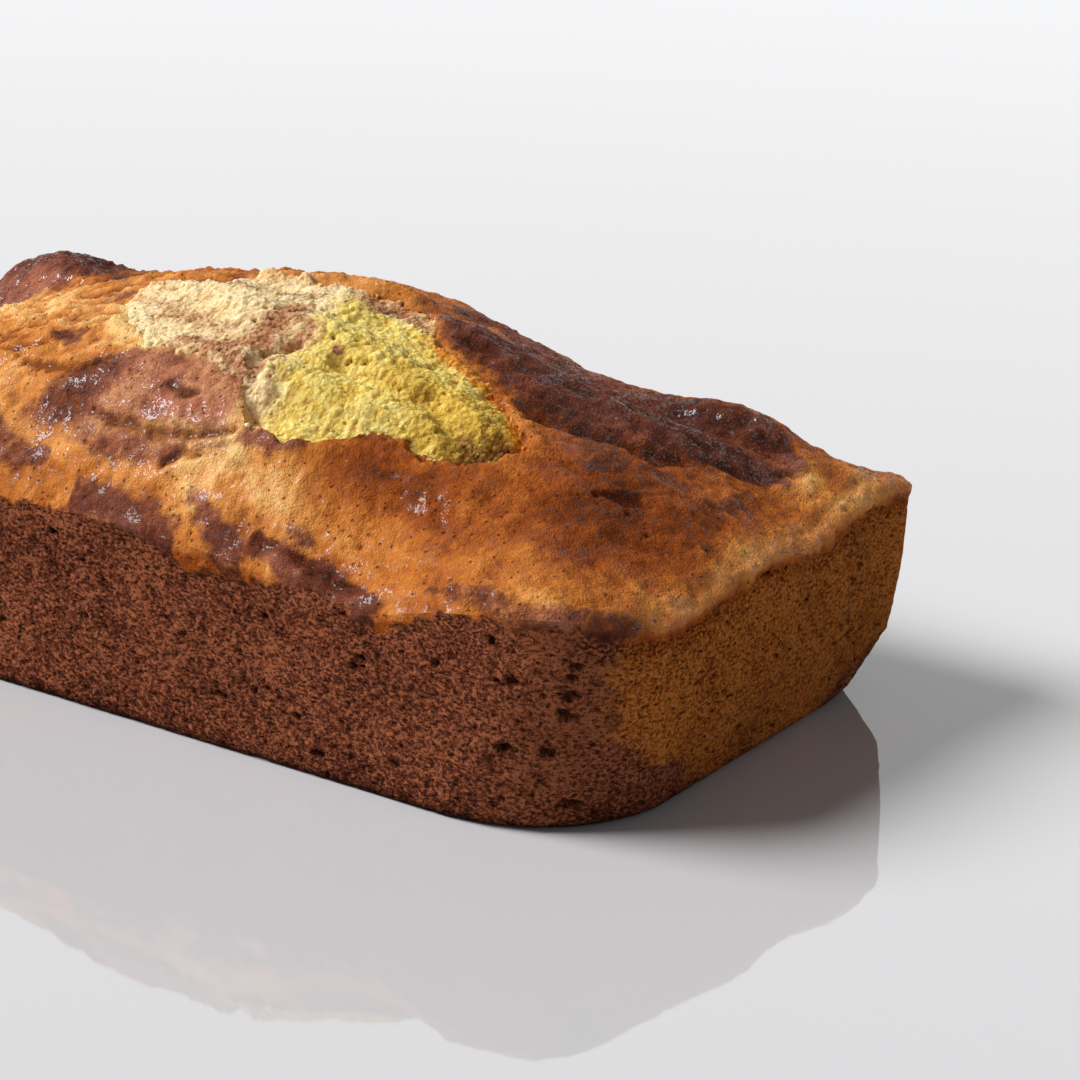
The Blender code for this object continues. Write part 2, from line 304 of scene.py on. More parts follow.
class TornLooks(bpy.types.PropertyGroup):
    """Sizes and colours of the sponge that the burst shows."""

    step: length("Mesh step", 0.36, "Distance between the points of the torn crumb's mesh")
    clump_height: length("Clumps", 0.9, "Height of the largest clumps")
    grain_height: length("Grains", 0.30, "Height of the finer grains")
    # Each deep tone is also the painted shade of the sponge in its clefts and hollows.
    yellow_pale: tint("Pale yellow", 244, 226, 142, "The brightest vanilla sponge")
    yellow_mid: tint("Yellow", 224, 186, 84, "Vanilla sponge")
    yellow_dark: tint("Deep yellow", 150, 108, 42, "Vanilla sponge in a cleft")
    cream_pale: tint("Pale cream", 246, 226, 184, "The brightest cream sponge")
    cream_mid: tint("Cream", 232, 200, 148, "Cream sponge")
    cream_dark: tint("Deep cream", 168, 118, 72, "Cream sponge in a cleft")
    brown_pale: tint("Pale brown", 206, 152, 112, "Marbled sponge, lightest")
    brown_mid: tint("Brown", 160, 104, 72, "Marbled sponge")
    brown_dark: tint("Deep brown", 92, 52, 34, "Marbled sponge in a cleft")
    toasted: tint("Toasted edge", 208, 118, 28, "Sponge toasted beside the crust")
    glow: share("Glow", 0.7, "Share of the light that passes into the sponge")
    glow_depth: length("Glow's depth", 2.0, "How far light passes into the sponge")


class LooseLooks(bpy.types.PropertyGroup):
    """Size and number of the loose crumbs."""

    size: length("Crumb", 0.42, "Mean radius of a loose crumb")
    count: IntProperty(name="Count", description="How many loose crumbs lie about",
                       default=240, min=0, max=2000)


class StageLooks(bpy.types.PropertyGroup):
    """The camera, the floor and the light."""

    azimuth: degrees("Azimuth", 31.712, "Camera's turn from the front to +X")
    elevation: degrees("Elevation", 19.143, "Camera's height as an angle")
    roll: degrees("Roll", 2.88, "Camera's lean about its own axis")
    distance: length("Distance", 832.0, "From the camera to its target")
    target: FloatVectorProperty(name="Target", description="The point that the camera faces",
                                default=(0.00296, 0.08713, 0.0), unit="LENGTH", precision=5)
    lens: FloatProperty(name="Lens", description="Focal length in millimetres",
                        default=118.0, unit="CAMERA")
    floor: tint("Floor", 201, 200, 202, "Colour of the polished floor")
    floor_roughness: share("Floor roughness", 0.03, "How dull the floor is")
    sky: tint("Surroundings", 251, 252, 253, "Colour of the pale surroundings")
    sky_strength: light("Surroundings' light", 1.42, "Radiance of the pale surroundings")
    fill: share("Fill", 0.09, "Share of the surroundings' light that fills the shadows")
    window: light("Window", 4.5, "Strength of the broad soft light from the left")
    window_width: degrees("Window's width", 32, "How broad the window's light is")
    window_from: heading("Window's place", (-0.63, -0.39, 0.67), "From the loaf to the window")
    card: light("Card", 0.34, "Strength of the low pale card that lights the +X end")
    card_width: degrees("Card's width", 60, "How broad the card's light is")
    card_from: heading("Card's place", (0.95, -0.15, 0.28), "From the loaf to the card")


# ---------------------------------------------------------------- noise on whole arrays
def hashed(column, row, layer, seed):
    """A fixed number from 0 to 1 for each cell of a lattice, by mixing whole numbers."""
    mixed = column * 374761393 + row * 668265263 + layer * 1440662683 + seed * 974634777
    for shift, factor in ((13, 1274126177), (16, 2246822519)):
        mixed = mixed & 0xFFFFFFFF
        mixed = (mixed ^ (mixed >> shift)) * factor
    return ((mixed & 0xFFFFFFFF) >> 8) / 0xFFFFFF


def noise(points, size, seed=0):
    """Smooth noise of about -1 to 1: a random slope at each lattice corner, blended."""
    grid = points / size
    base = np.floor(grid).astype(np.int64)
    part = grid - base
    fade = part ** 3 * (part * (part * 6 - 15) + 10)
    total = np.zeros(len(points))
    for corner in np.ndindex(2, 2, 2):
        column, row, layer = (base + corner).T
        away = (part - corner).T
        slopes = (2 * hashed(column, row, layer, 3 * seed + axis) - 1 for axis in range(3))
        weight = np.prod(np.where(corner, fade, 1 - fade), axis=1)
        total += weight * sum(slope * gap for slope, gap in zip(slopes, away))
    return 1.5 * total


def fractal(points, size, octaves, seed=0):
    """Noise summed over octaves, each half as large and half as strong as the last."""
    return sum(noise(points, size / 2 ** k, seed + k) / 2 ** k for k in range(octaves))


def clumped(points, size, seed=0):
    """Rounded clumps with sharp creases between them: noise without its sign."""
    return 2.2 * np.abs(noise(points, size, seed)) - 0.6


def cells(points, size, seed=0):
    """Scattered seeds, one in each lattice cell: the distance to the nearest one, in cell
    sizes, and a fixed number of that seed."""
    grid = points / size
    base = np.floor(grid).astype(np.int64)
    first = np.full(len(points), 9.0)
    number = np.zeros(len(points))
    for step in np.ndindex(3, 3, 3):
        cell = base + step - np.ones(3, np.int64)
        column, row, layer = cell.T
        offset = [hashed(column, row, layer, seed + axis) for axis in range(3)]
        gap = np.linalg.norm(cell + np.stack(offset, axis=1) - grid, axis=1)
        number = np.where(gap < first, hashed(column, row, layer, seed + 5), number)
        first = np.minimum(first, gap)
    return first, number


def shove(points, size, seed):
    """Noise along each of the three axes, to push points about."""
    return np.stack([noise(points, size, seed + axis) for axis in range(3)], axis=1)


def smooth(low, high, value):
    """0 at low, 1 at high and a smooth S between; low may be the larger."""
    part = np.clip((value - low) / (high - low), 0, 1)
    return part * part * (3 - 2 * part)


def blend(part, first, second):
    """The first where part is 0, the second where it is 1, for arrays and for wires."""
    return first * (1 - part) + second * part


# ---------------------------------------------------------------- shapes in plan
def bell(distance, width):
    """A smooth hump of height 1, which falls to 1/e at the given width."""
    return np.exp(-((distance / width) ** 2))


def oval(x, y, centre, radii, turn=0.0):
    """The distance from a centre in radii of a turned oval: 1 on the oval itself."""
    cosine, sine = np.cos(np.radians(turn)), np.sin(np.radians(turn))
    away_x, away_y = x - centre[0], y - centre[1]
    along = (away_x * cosine + away_y * sine) / radii[0]
    across = (away_y * cosine - away_x * sine) / radii[1]
    return np.hypot(along, across)


def mound(x, y, centre, radii, turn=0.0):
    """A round or oval hump of height 1."""
    return bell(oval(x, y, centre, radii, turn), 1)


def to_segment(x, y, start, end):
    """The distance to a straight segment, and the share of it passed at the foot."""
    line_x, line_y = end[0] - start[0], end[1] - start[1]
    passed = ((x - start[0]) * line_x + (y - start[1]) * line_y) / (line_x ** 2 + line_y ** 2)
    passed = np.clip(passed, 0, 1)
    return np.hypot(x - start[0] - passed * line_x, y - start[1] - passed * line_y), passed


def ridge(x, y, start, end, width):
    """A hump of height 1 that follows a straight line, with round ends."""
    return bell(to_segment(x, y, start, end)[0], width)


def stroke(x, y, points):
    """The distance to a bent line in its own half widths: points are (x, y, half width)."""
    nearest = np.full_like(x, FAR)
    for start, end in zip(points, points[1:]):
        gap, passed = to_segment(x, y, start, end)
        width = start[2] + passed * (end[2] - start[2])
        nearest = np.minimum(nearest, gap / width)
    return nearest


def brushed(x, y, strokes):
    """The strongest of several brushed strokes: 1 along a line, 0 beyond its width."""
    layers = [
        strength * smooth(1 + 1.6 * soft, 1 - 1.6 * soft, stroke(x, y, line))
        for strength, soft, line in strokes
    ]
    return np.max(layers, axis=0)


def lattice(column, row):
    """A fixed number from -1 to 1 for each crossing of a square lattice."""
    return np.modf(np.sin(column * 12.9898 + row * 78.233) * 43758.5453)[0]


def lumps(x, y, pitch):
    """Uneven lumps between -1 and 1: the lattice's numbers, blended smoothly between."""
    column, row = np.floor(x / pitch), np.floor(y / pitch)
    u, v = x / pitch - column, y / pitch - row
    u, v = u * u * (3 - 2 * u), v * v * (3 - 2 * v)
    near = lattice(column, row) * (1 - u) + lattice(column + 1, row) * u
    far = lattice(column, row + 1) * (1 - u) + lattice(column + 1, row + 1) * u
    return near * (1 - v) + far * v


def closed_curve(points, steps=6):
    """A smooth closed curve through the points: Catmull-Rom, steps points to each span."""
    knots = np.array(points, float)
    a, c = np.roll(knots, 1, axis=0)[:, None], np.roll(knots, -1, axis=0)[:, None]
    b, d = knots[:, None], np.roll(knots, -2, axis=0)[:, None]
    part = (np.arange(steps) / steps)[None, :, None]
    curve = b + part / 2 * (c - a)
    curve = curve + part ** 2 / 2 * (2 * a - 5 * b + 4 * c - d)
    curve = curve + part ** 3 / 2 * (3 * b - 3 * c + d - a)
    return curve.reshape(-1, 2)


def outside(x, y, curve):
    """The distance to a closed curve: above 0 outside it and below 0 within."""
    nearest = np.full_like(x, 1e9)
    within = np.zeros(x.shape, bool)
    for start, end in zip(curve, np.roll(curve, -1, axis=0)):
        nearest = np.minimum(nearest, to_segment(x, y, start, end)[0])
        spans = (start[1] > y) != (end[1] > y)
        slope = (end[0] - start[0]) / (end[1] - start[1] + 1e-12)
        within ^= spans & (x < start[0] + (y - start[1]) * slope)
    return np.where(within, -nearest, nearest)


# ---------------------------------------------------------------- the loaf's form
def rim_height(x, y):
    """The rim stands highest at the middle of the +X end, and sags along the front."""
    end_shape = 3 * bell(y, 20) + 4.7 * bell(y - 47, 20) - 1.5 * bell(y + 59, 18)
    end_edge = bell(x - 112, 12) * end_shape
    far_ridge = 2 * bell(x + 110, 6)
    front_rise = 1.5 * bell(x - 92, 14) * bell(y + 62, 16)
    front_sag = 5.7 * bell(x - 50, 18) * bell(y + 61, 20)
    return WALL_HEIGHT + end_edge + far_ridge + front_rise - front_sag


def dome(x, y):
    """The risen top: a crest that drops towards both ends, times a curved flank."""
    reach_x = np.where(x > CREST_X, DOME_END - CREST_X, DOME_END + CREST_X)
    reach_y = np.where(y > CREST_Y, DOME_BACK - CREST_Y, DOME_FRONT + CREST_Y)
    along = np.clip(np.abs(x - CREST_X) / reach_x, 0, 1)
    across = np.clip(np.abs(y - CREST_Y) / reach_y, 0, 1)
    right = 1 - DROP_RIGHT * (np.hypot(along, 0.06) - 0.06)
    left = 1 - DROP_LEFT * along ** 1.7
    crest = np.where(x > CREST_X, right, left) * (1 - along ** 7.4)
    return DOME_RISE * crest * (1 - across ** 3.4)


def folds(x, y):
    """The lobes and folds of the crust, each named for its place."""
    crest_fold = 3.0 * ridge(x, y, (30, 9), (80, 14), 8)
    back_lobe = 6.5 * mound(x, y, (86, 37), (22, 13), -4)
    crease = 3.0 * ridge(x, y, (64, 24), (92, 30), 4)
    back_dip = 4.5 * mound(x, y, (55, 26), (23, 14), -8)
    end_bulge = 2.5 * mound(x, y, (84, -6), (18, 15))
    bulge_crease = 2.0 * ridge(x, y, (60, -5), (82, 1), 3.5)
    left_swell = 2.5 * mound(x, y, (-13, -46), (22, 9))
    left_crease = 2.0 * ridge(x, y, (-48, -47), (-24, -54), 4)
    back_lump = 13.0 * mound(x, y, (-101, 32), (20, 13))
    front_hollow = 2.8 * mound(x, y, (50, -42), (30, 12))
    raised = crest_fold + back_lobe + end_bulge + left_swell + back_lump
    sunk = crease + back_dip + bulge_crease + left_crease + front_hollow
    return raised - sunk


def risen(x, y):
    """The height of the risen loaf, without the details of its crust."""
    back_step = 2.0 * ridge(x, y, (-38, 3), (14, 15), 4)
    return rim_height(x, y) + dome(x, y) + folds(x, y) + back_step


def burst_distance(x, y):
    """The distance outside the burst's ragged outline."""
    flat = np.stack([x, y, np.zeros_like(x)], axis=1)
    rag_x = 1.8 * noise(flat, 8, 31) + 1.7 * noise(flat, 3.4, 32) + 0.9 * noise(flat, 1.5, 35)
    rag_y = 1.8 * noise(flat, 8, 33) + 1.7 * noise(flat, 3.4, 34) + 0.9 * noise(flat, 1.5, 36)
    return outside(x + rag_x, y + rag_y, closed_curve(BURST_OUTLINE))


def crust_height(x, y, away):
    """The crust before its fine relief: it swells, has a lip, and sinks into the burst."""
    crust = bpy.context.scene.loaf_crust
    swell = crust.swell_height / MM * lumps(x + y, y - x / 3, SWELL_PITCH) * smooth(-2, 6, away)
    lip = crust.lip_height / MM * ridge(x, y, (14, -47), (64, -38), 3.5)
    right_lip = 1.0 * bell(away - 1.5, 2.5) * mound(x, y, (60, -14), (14, 14))
    sunk = crust.burst_depth / MM * smooth(0.8, -3.2, away)
    return risen(x, y) + swell + lip + right_lip - sunk


def torn_height(x, y, away):
    """The torn crumb before its fine relief: knobs, lobes and clefts, which drop out of
    sight under the crust all round."""
    knobs = 1.6 * lumps(x, y, 9)
    front_lobe = 2.0 * ridge(x, y, (16, -36), (44, -29), 6)
    back_lobe = 1.5 * ridge(x, y, (14, -14), (40, -9), 7)
    right_lobes = 1.5 * mound(x, y, (50, -18), (8, 5)) + 1.2 * ridge(x, y, (56, -21), (61, -20), 3)
    left_rise = 1.4 * smooth(8, -8, x) * smooth(-30, -18, y)
    raised = knobs + front_lobe + back_lobe + right_lobes + left_rise
    trough = 3.5 * ridge(x, y, (18, -39), (60, -32), 4)
    pocket = 6.0 * mound(x, y, (65, -27), (8, 6), 30)
    clefts = sum(
        depth * smooth(start, deepest, stroke(x, y, line))
        for depth, start, deepest, line in CLEFTS
    )
    edge = TORN_SINK + 3.4 * smooth(-0.5, 4.0, away) + 3.5 * smooth(2.5, 6.5, away)
    return risen(x, y) + raised - (trough + pocket + clefts + edge)


def corner_radius(x, y, height):
    """The plan radius of each corner, which widens from its bend down to the floor."""
    worn = (x > 0) & (y > 0)
    top = np.where(worn, WORN_RIM, np.where(y > 0, BACK_RIM, FRONT_RIM))
    bottom = np.where(worn, WORN_FLOOR, np.where(y > 0, BACK_FLOOR, FRONT_FLOOR))
    bend = np.where(worn, WORN_BEND, CORNER_BEND)
    return top + (bottom - top) * np.clip(1 - height / bend, 0, 1)


def rounded(x, y, half_x, half_y, radius):
    """Moves a point of a rectangle's border onto the same rectangle with round corners."""
    past_x = np.maximum(0, np.abs(x) - (half_x - radius))
    past_y = np.maximum(0, np.abs(y) - (half_y - radius))
    angle = np.pi / 4 * (1 + (past_y - past_x) / radius)
    at_corner = (past_x > 0) & (past_y > 0)
    round_x = np.sign(x) * (half_x - radius + radius * np.cos(angle))
    round_y = np.sign(y) * (half_y - radius + radius * np.sin(angle))
    return np.where(at_corner, round_x, x), np.where(at_corner, round_y, y)


def plan(s, t, height, inset=0.0):
    """Lays a square of -1 to 1 over the loaf's plan at a height, more rounded outwards."""
    depth = 1 - np.clip(height / WALL_HEIGHT, 0, 1)
    frontward = np.clip((1 - WORN_RIM / HALF_WIDTH - t) / 2, 0, 1)
    skew = np.where(s > 0, END_SKEW * frontward * (1 - depth ** 3), 0)
    half_x = HALF_LENGTH - END_TAPER * depth ** 3 - skew - inset
    half_y = HALF_WIDTH - np.where(t < 0, FRONT_TAPER, BACK_TAPER) * depth - inset
    reach = np.maximum(np.maximum(np.abs(s), np.abs(t)), 1e-9)
    border_x, border_y = s / reach * half_x, t / reach * half_y
    radius = corner_radius(border_x, border_y, height)
    edge_x, edge_y = rounded(border_x, border_y, half_x, half_y, radius)
    outer = reach ** 8
    x = s * half_x * (1 - outer) + edge_x * reach * outer
    y = t * half_y * (1 - outer) + edge_y * reach * outer
    return x, y


# ---------------------------------------------------------------- batter and baking
def swirled(points, large, fine, seed):
    """Plan coordinates pushed about by large and fine noise, which frays the patches."""
    x = points[:, 0] + large * noise(points, 11, seed) + fine * noise(points, 2.6, seed + 1)
    y = points[:, 1] + large * noise(points, 11, seed + 2) + fine * noise(points, 2.6, seed + 3)
    return x, y


def craggy_share(points):
    """1 on the craggy crust at the top left, 0 on the smooth crust."""
    x, y = points[:, 0], points[:, 1]
    return smooth(6, -24, x) * smooth(-108, -80, x) * smooth(-56, -32, y)


def crust_cocoa(points):
    """Where chocolate batter lies on top: the ribbon, the thick patch and the strokes."""
    x, y = swirled(points, 1.6, 1.0, 40)
    patch = smooth(3.5, -3.5, outside(x, y, closed_curve(PATCH_OUTLINE)))
    return np.maximum(np.maximum(brushed(x, y, RIBBON), brushed(x, y, STROKES)), 0.85 * patch)


def crust_bake_and_highlight(points, away):
    """How far the crust is browned, from 0, pale, to 1, dark. It is lighter and more
    golden in places, has a painted highlight along the +X rim, and is toasted to orange
    beside the burst."""
    x, y = swirled(points, 2.5, 0.8, 60)
    spots = (0.05 + 0.18 * craggy_share(points)) * noise(points, 4, 75)
    bake = 0.50 + 0.10 * fractal(points, 16, 3, 70) + spots
    for amount, centre, radii, turn in DARKER + PALER:
        bake = bake + amount * smooth(1.6, 0.3, oval(x, y, centre, radii, turn))
    return bake - (0.08 + 0.20 * smooth(0, -20, x)) * bell(away, 3.5)


def side_cocoa(points):
    """Where the sides are chocolate: the whole front, and swirls on the other walls. The +X
    end has it round the near corner, at the far foot and in one smear."""
    x, y, z = points.T
    stir = 2.6 * noise(points, 12, 80) + 1.2 * noise(points, 3.5, 81)
    edge_z, edge_y = np.array(END_EDGE, float).T
    near_corner = smooth(7, -6, y + stir - np.interp(z, edge_z, edge_y))
    far_foot = smooth(1.3, 0.5, oval(y + stir, z, (46, 1), (14, 11)))
    smear = 0.35 * brushed(y + 0.6 * stir, z, END_SMEAR)
    right = np.max([near_corner, 0.8 * far_foot, smear], axis=0)
    front = smooth(-50, -57, y + 0.4 * stir)
    swirls = smooth(-0.34, 0.26, fractal(points * (1, 1, 1.6), 34, 4, 84))
    at_right = (x > 104) | ((x > 84) & (y < 20))
    return np.where(at_right, right, np.maximum(front, swirls))


def side_bake_and_shade(points):
    """How dark the sides are: darker at the foot, with painted shade under the +X rim,
    lighter at the near corner and across the +X end."""
    x, y, z = points.T
    bake = 0.41 + 0.10 * fractal(points, 13, 3, 90)
    bake = bake + 0.14 * smooth(9, 0, z) + 0.30 * smooth(1.6, 0.2, z)
    far = smooth(-10, 45, y - 0.8 * (z - 20) + 6 * noise(points, 14, 94))
    # Painted shade under the +X rim.
    shade_under_rim = bell(z - rim_height(x, y) + 5.0, 3.0)
    at_end = smooth(98, 108, x) * (0.26 * shade_under_rim - 0.05 - 0.06 * far)
    near_corner = 0.22 * smooth(80, 104, x) * smooth(-44, -56, y)
    return bake + at_end - near_corner


# ---------------------------------------------------------------- relief
def pits(points, size, radius, depth, chosen, seed):
    """Round pits in a share of the lattice cells, each of its own radius."""
    first, number = cells(points, size, seed)
    wide = radius * (0.6 + 0.8 * number / chosen)
    return -depth * np.where(number < chosen, smooth(1.0, 0.35, first * size / wide), 0)


def crust_relief(points, cocoa, cracks):
    """The baked skin: bumps, blisters, pocks and cracks, crags at the top left, wrinkles
    along the ribbon and blobs on the rest of the chocolate."""
    crust = bpy.context.scene.loaf_crust
    x = points[:, 0]
    craggy = craggy_share(points)
    bumps = crust.bump_height / MM * (fractal(points, 9, 3, 100) + 0.5 * noise(points, 3.6, 103))
    crags = 0.6 * clumped(points, 7, 102) + 0.7 * noise(points, 3.2, 106)
    crags = crags + 0.5 * clumped(points, 1.9, 107)
    bumps = bumps + 0.9 * craggy * crags
    blisters = crust.blister_height / MM * (noise(points, 1.5, 104) + 1.5 * noise(points, 3, 105))
    deep = crust.pock_depth / MM
    pocks = pits(points, 6.5, 0.9, deep, 0.22, 110)
    pocks = pocks + (1 + craggy) * pits(points, 2.6, 0.6, 0.45 * deep, 0.34 + 0.2 * craggy, 111)
    turned = points @ np.array([[0.97, 0.22, 0], [-0.22, 0.97, 0], [0, 0, 1]]).T
    wrinkles = 1 - 2 * np.abs(noise(turned * (0.22, 1, 0.6), 3.0, 115))
    blobs = clumped(points, 4.2, 117)
    rough = cocoa * (wrinkles * smooth(12, 30, x) + 0.5 * blobs)
    return bumps + blisters + pocks + crust.wrinkle_depth / MM * rough - 1.1 * cracks


def side_relief(points):
    """The tin's crumb: leaning pores over fine grain, and a few larger holes."""
    side = bpy.context.scene.loaf_sides
    x, y, z = points.T
    lean = points @ np.array([[1, 0, 0.35], [0, 1, 0.2], [0, 0, 1]]).T
    push = shove(points, 1.8, 118)
    grain = 0.20 * fractal(points, 2.4, 2, 120)
    pores = pits(lean * (0.7, 0.7, 1.2) + 0.5 * push, 1.9, 0.8, side.pore_depth / MM, 0.6, 124)
    holes = pits(lean * (0.6, 0.6, 1.3) + 0.8 * push, 5.0, 0.9, side.hole_depth / MM, 0.3, 128)
    placed = np.zeros(len(points))
    for place_x, place_z, radius in FRONT_HOLES:
        gap = np.hypot(0.7 * (x - place_x) + push[:, 0], z - place_z + 0.8 * push[:, 2]) / radius
        placed = np.maximum(placed, smooth(1.0, 0.3, gap) * (y < -40))
    return grain + pores + holes + 0.3 * noise(points, 17, 130) - side.hole_depth / MM * placed


def crumb_relief(points):
    """Torn sponge: rounded clumps of four sizes and two sizes of pits, on coordinates that
    noise pushes about."""
    torn = bpy.context.scene.loaf_torn
    push = shove(points, 4, 140)
    wander = points + 1.4 * push
    large = 0.7 * noise(wander, 6.5, 150) + 0.45 * clumped(wander, 3.6, 151)
    small = 0.6 * clumped(wander, 1.9, 152) + 0.9 * clumped(points + 0.6 * push, 1.0, 153)
    clumps, grains = torn.clump_height / MM * large, torn.grain_height / MM * small
    stirred = points + 0.8 * shove(points, 1.6, 163)
    wide_pits = pits(stirred * (0.8, 1, 1), 3.4, 0.8, 1.1, 0.34, 160)
    return clumps + grains + wide_pits + pits(stirred, 1.7, 0.5, 0.6, 0.4, 161)


# ---------------------------------------------------------------- meshes
def grid_quads(columns, rows):
    """Quads of a grid of columns by rows points, stored row by row, facing up."""
    corner = (np.arange(rows - 1)[:, None] * columns + np.arange(columns - 1)).ravel()
    return np.stack([corner, corner + 1, corner + columns + 1, corner + columns], axis=1)


def ring_quads(upper, lower):
    """Quads between two rings of the same count, facing out if they run round from above
    anticlockwise with the upper ring first."""
    return np.stack([upper, lower, np.roll(lower, -1), np.roll(upper, -1)], axis=1)


def border_of(columns, rows):
    """The border points of a grid, run round once from its lowest corner."""
    index = np.arange(columns * rows).reshape(rows, columns)
    sides = (index[0, :-1], index[:-1, -1], index[-1, :0:-1], index[:0:-1, 0])
    return np.concatenate(sides)


def fan(ring, centre, up):
    """Triangles from a ring to one centre point, facing up or down."""
    after = np.roll(ring, -1)
    middle = np.full_like(ring, centre)
    return np.stack([ring, after, middle] if up else [after, ring, middle], axis=1)


def vertex_normals(points, quads):
    """Each point's outward direction: its quads' normals, summed and made unit long."""
    a, b, c, d = (points[quads[:, corner]] for corner in range(4))
    across = np.cross(c - a, d - b)
    total = np.stack([
        np.bincount(quads.ravel(), np.repeat(across[:, axis], 4), len(points))
        for axis in range(3)
    ], axis=1)
    return total / np.maximum(np.linalg.norm(total, axis=1), 1e-12)[:, None]


def add_piece(name, points, faces, marks, material, sharp_ring=()):
    """Makes the mesh in metres, with its marks at each point, smooth but for one ring."""
    mesh = bpy.data.meshes.new(name)
    listed = [face for block in faces for face in block.tolist()]
    mesh.from_pydata((points * MM).tolist(), [], listed)
    for label, values in marks.items():
        layer = mesh.attributes.new(label, "FLOAT", "POINT")
        layer.data.foreach_set("value", np.ascontiguousarray(values, np.float32))
    mesh.shade_smooth()
    if len(sharp_ring):
        ends = np.empty(len(mesh.edges) * 2, np.int32)
        mesh.edges.foreach_get("vertices", ends)
        on_ring = np.isin(ends.reshape(-1, 2), sharp_ring).all(axis=1)
        mesh.attributes.new("sharp_edge", "BOOLEAN", "EDGE").data.foreach_set("value", on_ring)
    mesh.materials.append(material)
    mesh.update()
    piece = bpy.data.objects.new(name, mesh)
    bpy.context.scene.collection.objects.link(piece)
    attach(piece, "root")
    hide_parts(NODE)


def settle(points):
    """Keeps every point inside the solid's box."""
    return np.clip(points, np.array(LOWEST) / MM, np.array(HIGHEST) / MM)


def top_net():
    """The top as a grid over the plan. Gives its place on a square of -1 to 1, its points,
    their distance inside the border as a number below 0, and outside the burst."""
    s, t = np.meshgrid(np.linspace(-1, 1, CELLS_X + 1), np.linspace(-1, 1, CELLS_Y + 1))
    s, t = s.ravel(), t.ravel()
    x, y = plan(s, t, WALL_HEIGHT)
    lack = np.clip(1 - (1 - np.maximum(np.abs(s), np.abs(t))) * HALF_WIDTH / RIM_ROLL, 0, 1)
    roll = RIM_ROLL * (1 - np.sqrt(1 - 0.9 * lack ** 2))
    away = burst_distance(x, y)
    top = np.stack([x, y, crust_height(x, y, away) - roll], axis=1)
    drop = -np.minimum((1 - np.abs(s)) * HALF_LENGTH, (1 - np.abs(t)) * HALF_WIDTH)
    return s, t, top, drop, away


def wall_rings(s, t, rim_z):
    """Rings of points down the walls, round the floor's roll and in over the underside,
    and how far each point lies below the rim."""
    rings, drops = [], []
    for row in range(1, WALL_ROWS + ROLL_ROWS + 1):
        if row <= WALL_ROWS:
            height = rim_z + (FLOOR_ROLL - rim_z) * row / WALL_ROWS
            inset = 0.0
        else:
            angle = np.pi / 2 * (row - WALL_ROWS) / ROLL_ROWS
            height = np.full_like(rim_z, FLOOR_ROLL * (1 - np.sin(angle)))
            inset = FLOOR_ROLL * (1 - np.cos(angle))
        x, y = plan(s, t, height, inset)
        rings.append(np.stack([x, y, height], axis=1))
        drops.append(rim_z - height)
    foot = rings[-1]
    for row in range(1, FLOOR_ROWS + 1):
        inward = 1 - row / (FLOOR_ROWS + 1)
        rings.append(foot * (inward, inward, 1))
        drops.append(np.full_like(rim_z, WALL_HEIGHT + 10.0 * row))
    return rings, drops


def loaf_net():
    """The whole outside as one net: its points, how far each lies below the rim and outside
    the burst, and the loops of points from the rim down."""
    s, t, top, drop, away = top_net()
    border = border_of(CELLS_X + 1, CELLS_Y + 1)
    rings, drops = wall_rings(s[border], t[border], top[border, 2])
    starts = len(top) + len(border) * np.arange(len(rings) + 1)
    loops = [border] + [np.arange(first, last) for first, last in zip(starts, starts[1:])]
    points = np.concatenate([top] + rings)
    away = np.concatenate([away, np.full(len(points) - len(top), FAR)])
    return points, np.concatenate([drop] + drops), away, loops


def crumb_share(points, drop):
    """0 on the baked crust and 1 on the tin's crumb, with a ragged edge between."""
    x, y, z = points.T
    edge_x, edge_z = np.array(FRONT_EDGE, float).T
    on_front = (y < -46) & (x < 101)
    rag = 1.3 * noise(points, 7, 180) + 1.2 * noise(points, 2.6, 181)
    rag = rag + 0.6 * noise(points, 1.2, 182)
    below = np.where(on_front, np.interp(x, edge_x, edge_z) - z, drop - 2.8)
    return smooth(-0.5, 0.5, below + rag) * smooth(-6, -2, drop)


def crust_cracks(points, drop):
    """1 along the crust's fine cracks, which noise frays, and 0 away from them."""
    x, y = swirled(points, 0.8, 0.5, 48)
    return brushed(x, y, [(1.0, 0.6, line) for line in CRACKS]) * smooth(2, 0, drop)


def crust_gloss(points, drop):
    """How far the skin shines: most on the ribbon, the patch, the +X rim and the far lump."""
    x, y = points[:, 0], points[:, 1]
    patch = smooth(1.2, -1.0, outside(x, y, closed_curve(PATCH_OUTLINE)))
    gloss = 0.30 + 0.22 * brushed(x, y, RIBBON) + 0.15 * patch + 0.25 * smooth(104, 110, x)
    gloss = gloss + 0.55 * smooth(-70, -90, x) * smooth(0, 20, y)
    return gloss * smooth(2.5, 0.5, drop)


